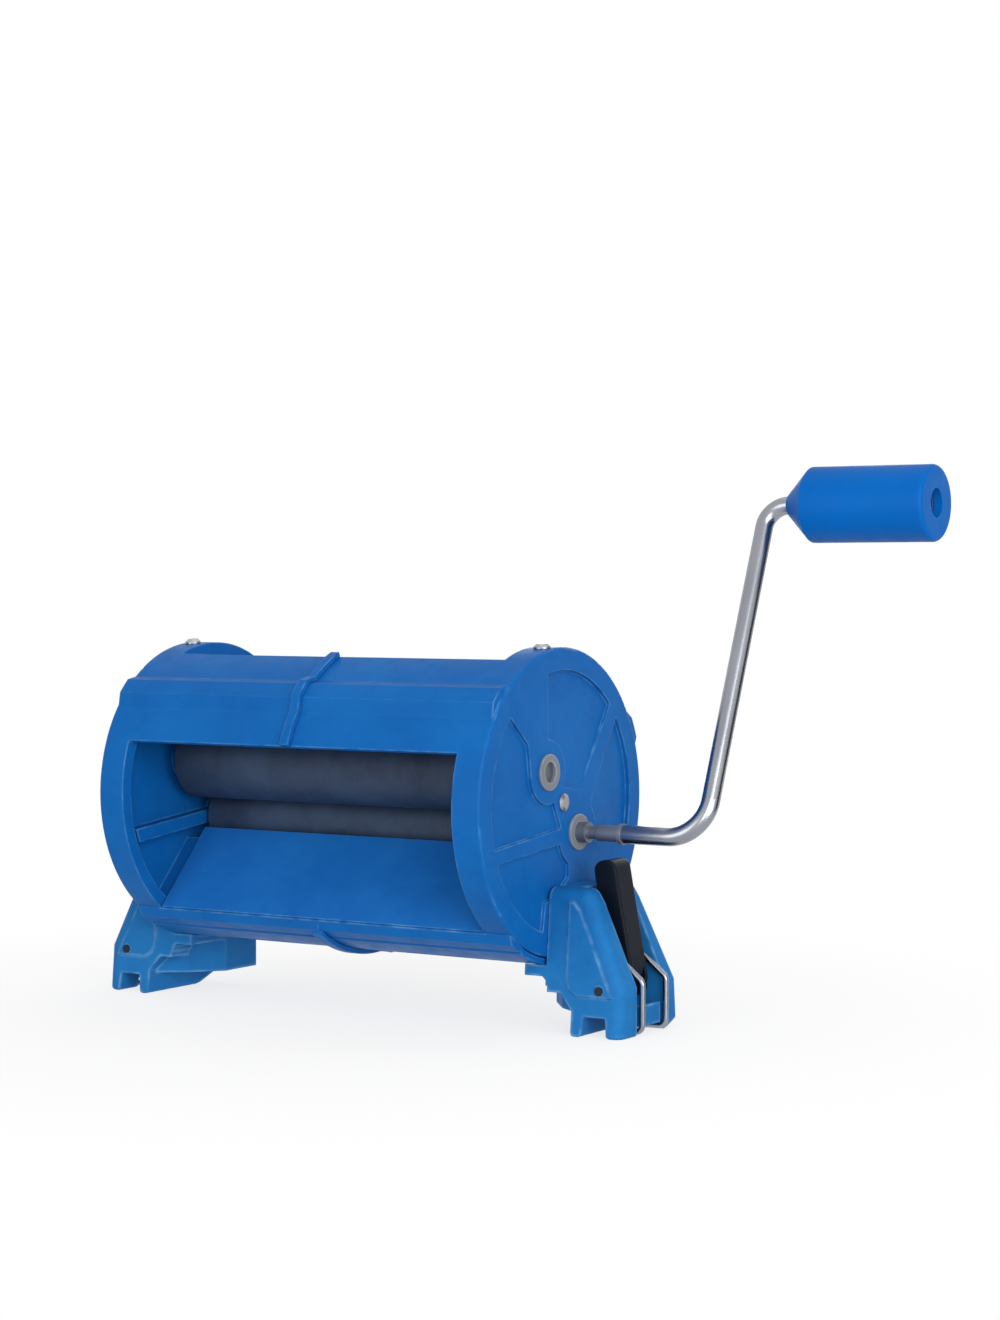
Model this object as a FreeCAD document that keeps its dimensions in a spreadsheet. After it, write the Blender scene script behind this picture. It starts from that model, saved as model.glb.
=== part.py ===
import FreeCAD, Part
import math
import os
import Sketcher

# Hand-cranked roller wringer that clamps across a tub.
# Frame: +X to the crank side, +Y to the back, +Z up. The origin lies on the base plane of the
# two clamp feet, midway between them and straight below the axis of the drum-shaped housing.

Vector = FreeCAD.Vector
Rotation = FreeCAD.Rotation

doc = FreeCAD.newDocument("roller_wringer")
sheet = doc.addObject("Spreadsheet::Sheet", "sizes")

# Driving dimensions: millimetres, and degrees where the name ends in "angle" or "lean".
# Angles round the drum are measured from its top: positive to the front, negative to the back.
SIZES = [
    # drum housing
    ("drum_radius", 105),
    ("half_length", 160),
    ("end_ring_width", 21.5),
    ("ring_wall", 9.5),
    ("end_plate", 9),
    ("rim_round", 2),
    ("hood_wall", 4),
    ("flat_front_angle", 22.3),
    ("flat_back_angle", 27),
    ("brow_rise", 5),
    ("brow_top_angle", 39),
    ("brow_crest_angle", 43.5),
    ("brow_low_angle", 50),
    ("brow_foot_angle", 55),
    ("opening_top_angle", 69),
    ("back_top_angle", 55),
    ("back_crest_angle", 61),
    ("back_low_angle", 69),
    ("back_opening_angle", 72),
    ("pan_rise", 4.8),
    ("pan_wall", 4),
    ("lip_angle", 142.4),
    ("lip_bevel_angle", 3.6),
    ("lip_depth_angle", 9.6),
    ("lip_slope_angle", 3),
    ("lip_groove_angle", 1.2),
    ("lip_groove_depth", 1.6),
    ("lip_wall", 4.5),
    ("drain_slot_length", 70),
    ("drain_slot_width", 12),
    ("drain_slot_start", 40),
    ("drain_slot_spread", 44),
    # lapped seam between the two housing halves
    ("band_wall", 3.3),
    ("band_gap", 0.3),
    ("band_left_reach", 4),
    ("band_right_reach", 3),
    ("lug_reach", 12),
    ("lug_half_angle", 3.6),
    # recesses and ribs of the end plates
    ("recess_rim", 15.5),
    ("recess_depth", 2.4),
    ("recess_slope_angle", 2.2),
    ("front_recess_top_angle", 48),
    ("front_recess_low_angle", 107),
    ("low_recess_top_angle", 113.5),
    ("low_recess_low_angle", 163),
    ("top_recess_front_angle", 13),
    ("top_recess_back_angle", 44),
    ("back_recess_top_angle", 52),
    ("back_recess_low_angle", 112),
    ("rib_width", 9.5),
    ("rib_offset", 4),
    ("rib_flank", 3),
    ("inner_rib_height", 9),
    ("boss_clear_radius", 22),
    ("lower_boss_extra", 2),
    ("boss_radius", 16),
    ("boss_height", 8),
    # rollers, shafts and bushes
    ("roller_radius", 28.6),
    ("nip_gap", 0.4),
    ("roller_tilt_angle", 42),
    ("roller_clear", 3),
    ("roller_chamfer", 2),
    ("shaft_radius", 7.1),
    ("bush_radius", 9.5),
    ("bush_flange_radius", 12.5),
    ("bush_flange", 1.8),
    ("running_fit", 0.06),
    ("seat_fit", 0.05),
    ("seat_gap", 0.3),
    ("shaft_recess", 2.5),
    ("stub_length", 9),
    ("spigot_radius", 4.5),
    ("spigot_length", 25),
    # crank
    ("hub_start", 8),
    ("hub_length", 16.5),
    ("hub_radius", 5.6),
    ("collar_length", 3.1),
    ("collar_radius", 7.2),
    ("rod_radius", 6.35),
    ("rod_socket_radius", 3.9),
    ("rod_socket_depth", 20),
    ("cross_pin_radius", 1.5),
    ("cross_pin_place", 8),
    ("crank_reach", 97),
    ("crank_radius", 241.8),
    ("crank_lean", 22.7),
    ("lower_bend", 27),
    ("upper_bend", 16),
    # grip
    ("grip_gap", 1),
    ("grip_neck_radius", 7.8),
    ("grip_cone_length", 18.3),
    ("grip_radius", 26),
    ("grip_length", 108.3),
    ("grip_round", 3),
    ("grip_recess_radius", 10),
    ("grip_recess_depth", 8),
    ("grip_washer_radius", 9.2),
    ("grip_washer", 1.6),
    # drain board
    ("board_top_gap", 5.43),
    ("board_top_angle", 12.9),
    ("board_end_gap", 0.75),
    ("board_thickness", 3),
    ("board_side_gap", 1.2),
    ("board_lip", 7),
    ("ledge_start", 8),
    ("ledge_end", 10),
    ("ledge_thickness", 3),
    ("ledge_reach", 7),
    # clamp feet: lengths outward from the end plate, the slot or the wire, heights from the base
    ("foot_offset", 14),
    ("foot_half_depth", 40.5),
    ("disc_gap", 0.3),
    ("saddle_reach", 16.4),
    ("saddle_height", 38),
    ("saddle_wall", 5.7),
    ("saddle_flank_drop", 16),
    ("saddle_rise", 13.8),
    ("saddle_step", 1.7),
    ("saddle_chamfer", 4),
    ("waist_drop", 10),
    ("slot_reach", 30.5),
    ("slot_width", 17),
    ("slot_height", 13.5),
    ("slot_flare", 1.5),
    ("inner_prong", 9.2),
    ("inner_prong_root", 16.8),
    ("outer_prong", 12.7),
    ("face_height", 27),
    ("rear_rise", 9),
    ("rear_rise_start", 17),
    ("cheek_drop", 56),
    ("cheek_foot", 9.5),
    ("cheek_top_length", 30),
    ("cheek_shoulder_length", 5.5),
    ("cheek_shoulder_drop", 9),
    ("cheek_lean_angle", 5),
    ("cheek_nose_height", 33),
    ("cheek_round", 8),
    ("cheek_crown", 8),
    ("prong_round", 2.6),
    ("pillow_height", 1.2),
    ("pillow_border", 8),
    ("pillow_side", 16.5),
    ("pillow_round", 12),
    ("pillow_crown", 2),
    ("pocket_top_wall", 17),
    ("pocket_floor_wall", 6.5),
    ("web_rise", 1),
    ("web_front", 32),
    ("web_step", 18),
    ("web_side", 4),
    # toggle levers, their pins and the wire bails
    ("pin_reach", 12.2),
    ("pin_rise", 11.5),
    ("pin_radius", 2.4),
    ("pin_head_radius", 3),
    ("pin_head", 0.9),
    ("lever_lean", 10.5),
    ("lever_drop", 37),
    ("lever_outboard", 10.45),
    ("lever_inboard", 6.55),
    ("lever_half_depth", 10.75),
    ("lever_end_round", 7),
    ("lever_edge_round", 1.6),
    ("lever_hub_radius", 8.4),
    ("lever_ear", 3),
    ("lever_ear_lap", 4),
    ("lever_prow", 5.4),
    ("lever_shoulder", 16),
    ("wire_radius", 2),
    ("wire_clear", 1),
    ("wire_stand_off", 2.5),
    ("wire_lever_reach", 24.3),
    ("wire_lever_offset", 0.7),
    ("wire_hole_depth", 3.6),
    ("wire_elbow_rise", 3.5),
    ("wire_foot_height", 3),
    ("wire_hook", 16),
    ("wire_bend", 5),
    # screws
    ("blind_clear", 1),
    ("top_screw_place", 10),
    ("top_screw_angle", 6.2),
    ("top_screw_radius", 2.5),
    ("top_screw_length", 11),
    ("top_screw_head_radius", 6),
    ("top_screw_head", 3.2),
    ("centre_screw_radius", 2.5),
    ("centre_screw_length", 7),
    ("centre_screw_head_radius", 6.1),
    ("centre_screw_head", 2.2),
    ("foot_screw_drop", 78.5),
    ("foot_screw_spread", 9),
    ("foot_screw_radius", 2.5),
    ("foot_screw_length", 18),
    ("foot_screw_head_radius", 4.6),
    ("foot_screw_head", 3),
    ("foot_screw_seat", 10),
    ("seam_screw_place", 7.4),
    ("seam_screw_radius", 1.5),
    ("seam_clear", 0.3),
    ("seam_screw_length", 6.5),
    ("seam_screw_head_radius", 3.2),
    ("seam_screw_head", 1.8),
    ("hood_seam_angle", 34),
    ("pan_seam_angle", 172),
    ("pan_far_seam_angle", 158),
    ("washer_radius", 12),
]


class Size:
    """A number together with the spreadsheet expression that it comes from."""

    def __init__(self, value, text):
        self.value = value
        self.text = text

    def __add__(self, other):
        other = constant(other)
        return Size(self.value + other.value, f"({self.text} + {other.text})")

    def __sub__(self, other):
        other = constant(other)
        return Size(self.value - other.value, f"({self.text} - {other.text})")

    def __mul__(self, other):
        other = constant(other)
        return Size(self.value * other.value, f"({self.text} * {other.text})")

    def __truediv__(self, other):
        other = constant(other)
        return Size(self.value / other.value, f"({self.text} / {other.text})")

    def __neg__(self):
        return Size(-self.value, f"(-1 * {self.text})")

    __radd__ = __add__
    __rmul__ = __mul__

    def __rsub__(self, other):
        return constant(other) - self


def constant(number):
    """A plain number as a Size."""
    return number if isinstance(number, Size) else Size(float(number), f"{float(number):.6f}")


def size(alias):
    """The Size of one spreadsheet cell."""
    return Size(float(sheet.get(alias)), f"sizes.{alias}")


def sine(angle):
    angle = constant(angle)
    return Size(math.sin(math.radians(angle.value)), f"sin({angle.text} * 1 deg)")


def cosine(angle):
    angle = constant(angle)
    return Size(math.cos(math.radians(angle.value)), f"cos({angle.text} * 1 deg)")


def root(amount):
    return Size(math.sqrt(amount.value), f"sqrt({amount.text})")


def bind(item, name, amount):
    """Tie one property of a document object to its spreadsheet expression."""
    item.setExpression(name, amount.text)


def polar(radius, angle):
    """A point of the drum's cross-section, as distances to the back and up."""
    return -radius * sine(angle), radius * cosine(angle)


def place(item, x=0, y=0, z=0, axis=None, angle=0):
    """Give an object its place, and a turn about one axis, from the sizes."""
    x, y, z, angle = constant(x), constant(y), constant(z), constant(angle)
    turn = Rotation(axis, angle.value) if axis else Rotation()
    item.Placement = FreeCAD.Placement(Vector(x.value, y.value, z.value), turn)
    bind(item, "Placement.Base.x", x)
    bind(item, "Placement.Base.y", y)
    bind(item, "Placement.Base.z", z)
    if axis:
        bind(item, "Placement.Rotation.Angle", angle)


def new_body(name):
    body = doc.addObject("PartDesign::Body", name)
    body.Label = name
    return body


def new_sketch(body, name, role, offset=0, tilt_axis=None, tilt=0):
    """A sketch on one origin plane of its body, moved along the plane's normal."""
    sketch = body.newObject("Sketcher::SketchObject", name)
    planes = [item for item in body.Origin.OriginFeatures if item.Role == role]
    sketch.AttachmentSupport = [(planes[0], "")]
    sketch.MapMode = "FlatFace"
    offset, tilt = constant(offset), constant(tilt)
    turn = Rotation(tilt_axis, tilt.value) if tilt_axis else Rotation()
    sketch.AttachmentOffset = FreeCAD.Placement(Vector(0, 0, offset.value), turn)
    bind(sketch, "AttachmentOffset.Base.z", offset)
    if tilt_axis:
        bind(sketch, "AttachmentOffset.Rotation.Angle", tilt)
    return sketch


def fix_coordinate(sketch, kind, element, point, amount):
    """Hold one coordinate of a sketch point at a size, measured from the sketch's origin."""
    if abs(amount.value) < 1e-9:
        axis = -2 if kind == "DistanceX" else -1
        sketch.addConstraint(Sketcher.Constraint("PointOnObject", element, point, axis))
        return
    index = sketch.addConstraint(Sketcher.Constraint(kind, -1, 1, element, point, amount.value))
    bind(sketch, f"Constraints[{index}]", amount)


ORIGIN = (constant(0), constant(0))


def outline(sketch, corners, closed=True):
    """Straight edges from corner to corner. A corner that also names a centre starts an arc
    about that centre, which turns counter-clockwise if its last word is left."""
    corners = [tuple(constant(part) for part in corner[:2]) + tuple(corner[2:]) for corner in corners]
    points = [Vector(corner[0].value, corner[1].value, 0) for corner in corners]
    count = len(corners)
    edges = []
    for number in range(count if closed else count - 1):
        start, end = points[number], points[(number + 1) % count]
        if len(corners[number]) == 2:
            element = sketch.addGeometry(Part.LineSegment(start, end))
            edges.append((element, 1, 2))
            continue
        (across, along), turn = corners[number][2:]
        centre = Vector(across.value, along.value, 0)
        first, last = (start, end) if turn == "left" else (end, start)
        first_angle = math.atan2(first.y - centre.y, first.x - centre.x)
        last_angle = math.atan2(last.y - centre.y, last.x - centre.x)
        if last_angle < first_angle:
            last_angle += 2 * math.pi
        circle = Part.Circle(centre, Vector(0, 0, 1), (start - centre).Length)
        element = sketch.addGeometry(Part.ArcOfCircle(circle, first_angle, last_angle))
        edges.append((element, 1, 2) if turn == "left" else (element, 2, 1))
        fix_coordinate(sketch, "DistanceX", element, 3, across)
        fix_coordinate(sketch, "DistanceY", element, 3, along)
    for number in range(len(edges) if closed else len(edges) - 1):
        here, there = edges[number], edges[(number + 1) % len(edges)]
        sketch.addConstraint(Sketcher.Constraint("Coincident", here[0], here[2], there[0], there[1]))
    for number in range(count):
        if number < len(edges):
            element, point = edges[number][0], edges[number][1]
        else:
            element, point = edges[-1][0], edges[-1][2]
        along_x = along_y = True
        if (closed or number) and len(corners[number - 1]) > 2:
            centre = corners[number - 1][2]
            from_centre = points[number] - Vector(centre[0].value, centre[1].value, 0)
            along_x = abs(from_centre.x) < abs(from_centre.y)
            along_y = not along_x
        if along_x:
            fix_coordinate(sketch, "DistanceX", element, point, corners[number][0])
        if along_y:
            fix_coordinate(sketch, "DistanceY", element, point, corners[number][1])


def ring(sketch, across, along, radius):
    """A full circle."""
    across, along = constant(across), constant(along)
    circle = Part.Circle(Vector(across.value, along.value, 0), Vector(0, 0, 1), radius.value)
    element = sketch.addGeometry(circle)
    fix_coordinate(sketch, "DistanceX", element, 3, across)
    fix_coordinate(sketch, "DistanceY", element, 3, along)
    index = sketch.addConstraint(Sketcher.Constraint("Radius", element, radius.value))
    bind(sketch, f"Constraints[{index}]", radius)


def box_outline(sketch, low_across, high_across, low_along, high_along):
    outline(sketch, [(low_across, low_along), (high_across, low_along),
                     (high_across, high_along), (low_across, high_along)])


def extrude(body, kind, name, sketch, length, both_ways=False, flip=False):
    """A pad or a pocket that must add or remove material."""
    doc.recompute()
    before = body.Shape.Volume if not body.Shape.isNull() else 0.0
    feature = body.newObject(f"PartDesign::{kind}", name)
    feature.Profile = sketch
    feature.Length = constant(length).value
    bind(feature, "Length", constant(length))
    if both_ways:
        feature.SideType = "Symmetric"
    feature.Reversed = flip
    doc.recompute()
    change = body.Shape.Volume - before
    wrong = change <= 0 if kind == "Pad" else change >= 0
    if wrong:
        raise RuntimeError(f"{name} of {body.Label} changes nothing")
    return feature


def pad(body, name, sketch, length, both_ways=False, flip=False):
    return extrude(body, "Pad", name, sketch, length, both_ways, flip)


def pocket(body, name, sketch, length, both_ways=False, flip=False):
    return extrude(body, "Pocket", name, sketch, length, both_ways, flip)


def revolve(body, name, sketch):
    """A full turn about the sketch's horizontal axis."""
    feature = body.newObject("PartDesign::Revolution", name)
    feature.Profile = sketch
    feature.ReferenceAxis = (sketch, ["H_Axis"])
    feature.Angle = 360
    doc.recompute()
    return feature


def soften(body, kind, name, chosen, amount):
    """A fillet or chamfer on the edges of the body that a test chooses."""
    base = body.Tip
    names = [f"Edge{number + 1}" for number, edge in enumerate(base.Shape.Edges) if chosen(edge)]
    if not names:
        raise RuntimeError(f"{name} of {body.Label} finds no edge")
    feature = body.newObject(f"PartDesign::{kind}", name)
    feature.Base = (base, names)
    word = "Radius" if kind == "Fillet" else "Size"
    setattr(feature, word, amount.value)
    bind(feature, word, amount)
    doc.recompute()
    if "Invalid" in feature.State:
        raise RuntimeError(f"{name} of {body.Label} fails")
    return feature


def edge_points(edge):
    return [edge.valueAt(edge.FirstParameter + (edge.LastParameter - edge.FirstParameter) * part)
            for part in (0.0, 0.25, 0.5, 0.75, 1.0)]


def lies_at(edge, **coordinates):
    """True if the whole edge lies at the given x, y or z."""
    return all(abs(getattr(point, axis) - amount) < 0.01
               for point in edge_points(edge) for axis, amount in coordinates.items())


def runs_along(edge, axis):
    """True if a straight edge runs along one axis."""
    points = edge_points(edge)
    span = points[-1] - points[0]
    return span.Length > 0.01 and abs(abs(getattr(span, axis)) - span.Length) < 0.001 * span.Length


def group(name, pieces):
    """Equal or paired small pieces in one node, each a solid of its own."""
    compound = doc.addObject("Part::Compound", name)
    compound.Label = name
    compound.Links = pieces
    return compound


def mirrored(name, source):
    """The left-hand twin of a right-hand piece."""
    mirror = doc.addObject("Part::Mirroring", name)
    mirror.Label = name
    mirror.Source = source
    mirror.Normal = Vector(1, 0, 0)
    return mirror


def cut(name, base, tool):
    feature = doc.addObject("Part::Cut", name)
    feature.Label = name
    feature.Base = base
    feature.Tool = tool
    return feature


def fuse(name, pieces):
    feature = doc.addObject("Part::MultiFuse", name)
    feature.Label = name
    feature.Shapes = pieces
    return feature


def cylinder(name, radius, height):
    piece = doc.addObject("Part::Cylinder", name)
    bind(piece, "Radius", radius)
    bind(piece, "Height", height)
    return piece


for row, (alias, amount) in enumerate(SIZES, start=1):
    sheet.set(f"A{row}", alias)
    sheet.set(f"B{row}", str(amount))
    sheet.setAlias(f"B{row}", alias)
doc.recompute()

# ---------------------------------------------------------------- places worked out from the sizes
drum_radius = size("drum_radius")
brow_radius = drum_radius + size("brow_rise")
pan_radius = drum_radius + size("pan_rise")
recess_radius = drum_radius - size("recess_rim")
axis_height = size("saddle_height") + size("saddle_wall") + pan_radius
half_length = size("half_length")
plate_inside = half_length - size("end_plate")
opening_side = half_length - size("end_ring_width")
boss_face = plate_inside - size("boss_height")
roller_end = boss_face - size("roller_clear")

# The two roller axes lie on a line through the drum's axis that leans to the front.
axis_reach = size("roller_radius") + size("nip_gap") / 2
upper_y = -axis_reach * sine(size("roller_tilt_angle"))
upper_z = axis_reach * cosine(size("roller_tilt_angle"))
lower_y = -upper_y
lower_z = -upper_z
UPPER = (upper_y, upper_z)
LOWER = (lower_y, lower_z)

foot_y = size("foot_offset")
slot_inboard = half_length + size("slot_reach")
slot_outboard = slot_inboard + size("slot_width")
prong_inboard = slot_inboard - size("inner_prong")
foot_outboard = slot_outboard + size("outer_prong")
foot_inboard = half_length - size("saddle_reach")
saddle_bottom = size("saddle_height")
pocket_floor = size("slot_height") + size("pocket_floor_wall")
cheek_top = axis_height - size("cheek_drop")
foot_screw_height = axis_height - size("foot_screw_drop")

# The toggle lever turns on its pins; the wire hangs from the lever and hooks under the foot.
pin_x = slot_inboard + size("pin_reach")
pin_height = pocket_floor + size("pin_rise")
wire_spread = size("lever_half_depth") + size("wire_bend")
wire_x = foot_outboard + size("wire_stand_off")
wire_hook_x = wire_x - size("wire_hook")
pocket_half = wire_spread + size("wire_radius") + size("wire_clear")
block_half = wire_spread - size("wire_radius") - size("wire_clear")
block_bottom = size("wire_foot_height") + size("wire_radius") + size("wire_clear")


# ---------------------------------------------------------------- housing
def go_along(path, turn):
    """Corners of a cross-section path. Each stop is a radius, an angle and whether an arc follows."""
    return [(*polar(radius, angle), ORIGIN, turn) if arc else polar(radius, angle)
            for radius, angle, arc in path]


def go_back(path, turn):
    """The same path in the other direction."""
    arcs = [False] + [arc for radius, angle, arc in path[:-1]]
    stops = [(radius, angle, arc) for (radius, angle, unused), arc in zip(path, arcs)]
    return go_along(stops[::-1], turn)


def hood_outside(grow):
    """Outer line of the hood from the edge of its front brow, over the top, to its back brow.
    Its top is flat and falls a little to the back, so that water runs off."""
    edge = drum_radius + grow
    brow = brow_radius + grow
    return [
        (edge, size("opening_top_angle"), True),
        (edge, size("brow_foot_angle"), False),
        (brow, size("brow_low_angle"), True),
        (brow, size("brow_crest_angle"), False),
        (edge, size("brow_top_angle"), True),
        (edge, size("flat_front_angle"), False),
        (edge, -size("flat_back_angle"), True),
        (edge, -size("back_top_angle"), False),
        (brow, -size("back_crest_angle"), True),
        (brow, -size("back_low_angle"), False),
        (edge, -size("back_opening_angle"), False),
    ]


# The band over the hood ends where the flat top begins: these many stops from the front.
FRONT_STOPS = 6


def hood_inside():
    """Inner line of the hood, in the same direction."""
    inner = drum_radius - size("hood_wall")
    return [
        (inner, size("opening_top_angle"), True),
        (inner, size("flat_front_angle"), False),
        (inner, -size("flat_back_angle"), True),
        (inner, -size("back_opening_angle"), False),
    ]


def pan_outside(grow, grooved):
    """Outer line of the pan from its front lip, round the bottom, to its back lip."""
    outer = pan_radius + grow
    lip = size("lip_angle") + size("lip_bevel_angle")
    deep = size("lip_angle") + size("lip_depth_angle")
    floor = pan_radius - size("lip_groove_depth")
    flank = size("lip_groove_angle")
    groove = [(outer, deep - flank, False), (floor, deep, False), (outer, deep + flank, True)]
    back_groove = [(outer, -(deep + flank), False), (floor, -deep, False),
                   (outer, -(deep - flank), True)]
    return ([(outer, lip, True)] + (groove if grooved else []) + [(outer, constant(180), True)]
            + (back_groove if grooved else []) + [(outer, -lip, False)])


def pan_inside():
    """Inner line of the pan, in the same direction, with the thicker wall of its lips."""
    inner = pan_radius - size("pan_wall")
    lip_inner = pan_radius - size("lip_wall")
    lip = size("lip_angle")
    deep = lip + size("lip_depth_angle")
    thin = deep + size("lip_slope_angle")
    return [
        (lip_inner, lip, False),
        (lip_inner, deep, False),
        (inner, thin, True),
        (inner, constant(180), True),
        (inner, -thin, False),
        (lip_inner, -deep, False),
        (lip_inner, -lip, False),
    ]


def end_plate_recesses(body):
    """Shallow pockets in the outer face, which leave the rim, the ribs and the bosses proud."""
    rim = recess_radius
    clear = size("boss_clear_radius")

    front = new_sketch(body, "front_recess_sketch", "YZ_Plane", half_length)
    outline(front, [
        (*polar(rim, size("front_recess_top_angle")), ORIGIN, "left"),
        polar(rim, size("front_recess_low_angle")),
        (upper_y + clear * 0.75, lower_z + size("rib_offset")),
        (upper_y + clear * sine(20), upper_z - clear * cosine(20), UPPER, "right"),
        (upper_y - clear, upper_z),
        (upper_y - clear - size("rib_flank"), upper_z + clear * 0.88),
    ])
    pocket(body, "front_recess", front, size("recess_depth"))

    low = new_sketch(body, "low_recess_sketch", "YZ_Plane", half_length)
    low_clear = clear + size("lower_boss_extra")
    outline(low, [
        (*polar(rim, size("low_recess_low_angle")), ORIGIN, "right"),
        polar(rim, size("low_recess_top_angle")),
        (lower_y - low_clear * cosine(17), lower_z - low_clear * sine(17), LOWER, "left"),
        (lower_y - low_clear * cosine(60), lower_z - low_clear * sine(60)),
        (lower_y - low_clear * 0.5, lower_z - low_clear * 1.27),
        (lower_y - low_clear * 1.2, lower_z - low_clear * 1.77),
        (lower_y - low_clear * 1.75, lower_z - low_clear * 1.85),
    ])
    pocket(body, "low_recess", low, size("recess_depth"))

    # The next two are sloped: they start flush near the centre and are deepest at the rim.
    slope = size("recess_slope_angle")
    top = new_sketch(body, "top_recess_sketch", "YZ_Plane", half_length, Vector(1, 0, 0), -slope)
    outline(top, [
        (*polar(rim, size("top_recess_front_angle")), ORIGIN, "right"),
        polar(rim, -size("top_recess_back_angle")),
        (lower_y + size("lower_boss_extra"), upper_z / 3),
        (upper_y + clear * cosine(30), upper_z - clear * sine(30), UPPER, "left"),
        (upper_y, upper_z + clear),
    ])
    pocket(body, "top_recess", top, size("recess_depth") * 2, flip=True)

    back = new_sketch(body, "back_recess_sketch", "YZ_Plane", half_length, Vector(0, 1, 0), slope)
    outline(back, [
        (*polar(rim, -size("back_recess_top_angle")), ORIGIN, "right"),
        polar(rim, -size("back_recess_low_angle")),
        (lower_y + low_clear * cosine(5), lower_z - low_clear * sine(5), LOWER, "left"),
        (lower_y + low_clear * cosine(45), lower_z + low_clear * sine(45)),
        (lower_y + low_clear * 0.8, lower_z + low_clear),
    ])
    pocket(body, "back_recess", back, size("recess_depth") * 2, flip=True)


# The drain board runs from under the lower roller to the inner edge of the front lip.
board_drop = size("board_top_angle")
board_top_y = lower_y - (size("roller_radius") + size("board_top_gap")) * cosine(board_drop)
board_top_z = lower_z - (size("roller_radius") + size("board_top_gap")) * sine(board_drop)
board_end_y, board_end_z = polar(pan_radius - size("lip_wall") - size("board_end_gap"),
                                 size("lip_angle"))
board_run = board_end_y - board_top_y
board_fall = board_end_z - board_top_z
board_length = root(board_run * board_run + board_fall * board_fall)


def board_point(along, above):
    """A point of the drain board's cross-section: distance down its slope from the top edge,
    and distance above its top surface."""
    return (board_top_y + (along * board_run + above * board_fall) / board_length,
            board_top_z + (along * board_fall - above * board_run) / board_length)


def make_end_half():
    """One end of the housing as moulded: half the hood and pan, the end ring and the end plate."""
    body = new_body("end_half")
    place(body, z=axis_height)

    plate = new_sketch(body, "plate_sketch", "XZ_Plane")
    inner_radius = drum_radius - size("ring_wall")
    soft = size("rim_round")
    outline(plate, [(plate_inside, 0), (half_length, 0),
                    (half_length, drum_radius - soft, (half_length - soft, drum_radius - soft), "left"),
                    (half_length - soft, drum_radius), (opening_side, drum_radius),
                    (opening_side, inner_radius), (plate_inside, inner_radius)])
    revolve(body, "plate_and_ring", plate)

    hood = new_sketch(body, "hood_sketch", "YZ_Plane")
    outline(hood, go_along(hood_outside(0), "right") + go_back(hood_inside(), "left"))
    pad(body, "hood", hood, half_length - soft)

    pan = new_sketch(body, "pan_sketch", "YZ_Plane")
    outline(pan, go_along(pan_outside(0, grooved=True), "left") + go_back(pan_inside(), "right"))
    pad(body, "pan", pan, half_length - soft)

    end_plate_recesses(body)

    bosses = new_sketch(body, "boss_sketch", "YZ_Plane", plate_inside + 1)
    ring(bosses, *UPPER, size("boss_radius"))
    ring(bosses, *LOWER, size("boss_radius"))
    pad(body, "bosses", bosses, size("boss_height") + 1, flip=True)

    rib = new_sketch(body, "inner_rib_sketch", "YZ_Plane", plate_inside + 1)
    width = size("rib_width")
    outline(rib, [(lower_y - size("boss_radius"), lower_z + width / 2),
                  polar(recess_radius, size("front_recess_low_angle")),
                  polar(recess_radius, size("low_recess_top_angle")),
                  (lower_y - size("boss_radius"), lower_z - width / 2)])
    pad(body, "inner_rib", rib, size("inner_rib_height") + 1, flip=True)

    ledge = new_sketch(body, "ledge_sketch", "YZ_Plane", plate_inside + 1)
    under = -size("board_thickness") - size("seat_gap")
    first, last = size("ledge_start"), board_length - size("ledge_end")
    outline(ledge, [board_point(first, under), board_point(last, under),
                    board_point(last, under - size("ledge_thickness")),
                    board_point(first, under - size("ledge_thickness"))])
    pad(body, "board_ledge", ledge, size("end_ring_width") - size("end_plate") + size("ledge_reach"),
        flip=True)

    bores = new_sketch(body, "bush_bore_sketch", "YZ_Plane", half_length)
    ring(bores, *UPPER, size("bush_radius") + size("seat_fit"))
    ring(bores, *LOWER, size("bush_radius") + size("seat_fit"))
    ring(bores, 0, 0, size("centre_screw_radius") + size("seat_fit"))
    pocket(body, "bush_bores", bores, half_length - boss_face)

    pilots = new_sketch(body, "foot_screw_pilot_sketch", "YZ_Plane", half_length)
    for side in (-1, 1):
        ring(pilots, foot_y + side * size("foot_screw_spread"), -size("foot_screw_drop"),
             size("foot_screw_radius") + size("seat_fit"))
    pocket(body, "foot_screw_pilots", pilots, size("end_plate"))

    slots = new_sketch(body, "drain_slot_sketch", "XY_Plane", size("pan_wall") * 3 - pan_radius)
    start = size("drain_slot_start")
    for side in (-1, 1):
        middle = side * size("drain_slot_spread") / 2
        box_outline(slots, start, start + size("drain_slot_length"),
                    middle - size("drain_slot_width") / 2, middle + size("drain_slot_width") / 2)
    pocket(body, "drain_slots", slots, pan_radius)
    return body


def make_band(name, line, turn, turn_back):
    """The raised band that the left half lays over the end of the right half. Left of the seam
    it is one with the left half, and right of the seam it is clear of the right half."""
    band = new_body(name)
    place(band, z=axis_height)
    top = line(size("band_gap") + size("band_wall"))
    left = new_sketch(band, f"{name}_left_sketch", "YZ_Plane")
    outline(left, go_along(top, turn) + go_back(line(constant(-1)), turn_back))
    pad(band, f"{name}_left", left, size("band_left_reach"), flip=True)
    right = new_sketch(band, f"{name}_right_sketch", "YZ_Plane")
    outline(right, go_along(top, turn) + go_back(line(size("band_gap")), turn_back))
    pad(band, f"{name}_right", right, size("band_right_reach"))
    return band


# The seam screws: the angle of each, and the radius of the surface under the band there.
SEAM_PLACES = (
    (-size("hood_seam_angle"), drum_radius),
    (-(size("back_crest_angle") + size("back_low_angle")) / 2, brow_radius),
    (-size("pan_seam_angle"), pan_radius),
    (-size("pan_far_seam_angle"), pan_radius),
)


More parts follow.
